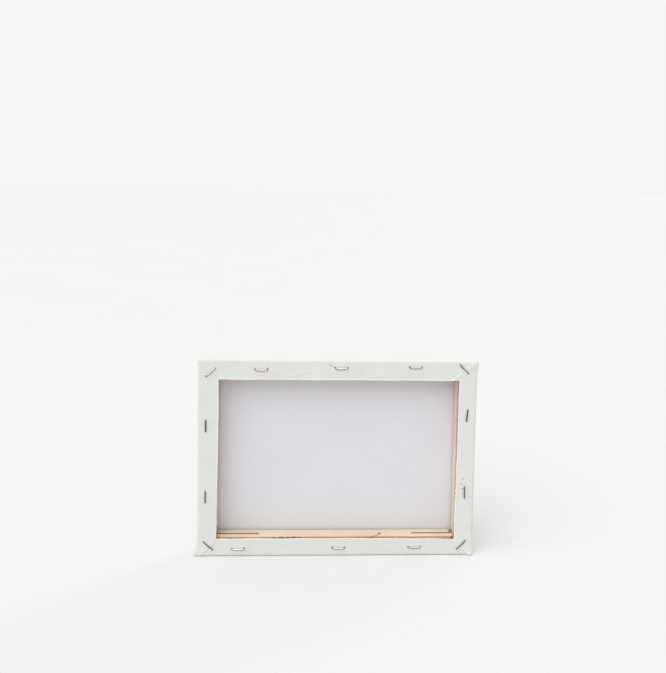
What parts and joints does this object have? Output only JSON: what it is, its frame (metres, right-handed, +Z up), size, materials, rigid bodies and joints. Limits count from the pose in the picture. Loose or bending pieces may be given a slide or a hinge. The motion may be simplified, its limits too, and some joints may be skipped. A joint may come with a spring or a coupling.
{
  "type": "stretched canvas",
  "caption": "Small landscape artist's canvas: primed cotton cloth wrapped over a slotted, mitred pine frame and stapled to its back.",
  "frame": {"origin": "middle of the bottom edge, on the surface that the canvas stands on, halfway between the painted face and the staple crowns", "axes": "+Z up, +X to the right as seen from the painted face, painted face towards -Y, stapled back towards +Y"},
  "size_m": [0.25, 0.019, 0.18],
  "materials": {
    "primed_cotton": "matte white primer over plain-weave cotton, raw cloth inside",
    "pine": "planed, unfinished",
    "staple_wire": "galvanised wire"
  },
  "bodies": {
    "root": {"canvas": "primed_cotton", "bar_bottom": "pine", "bar_top": "pine", "bar_left": "pine", "bar_right": "pine", "staple_top_left": "staple_wire", "staple_top_middle": "staple_wire", "staple_top_right": "staple_wire", "staple_bottom_left": "staple_wire", "staple_bottom_middle": "staple_wire", "staple_bottom_right": "staple_wire", "staple_left_upper": "staple_wire", "staple_left_lower": "staple_wire", "staple_right_upper": "staple_wire", "staple_right_lower": "staple_wire", "staple_corner_top_left": "staple_wire", "staple_corner_top_right": "staple_wire", "staple_corner_bottom_left": "staple_wire", "staple_corner_bottom_right": "staple_wire"}
  },
  "joints": []
}
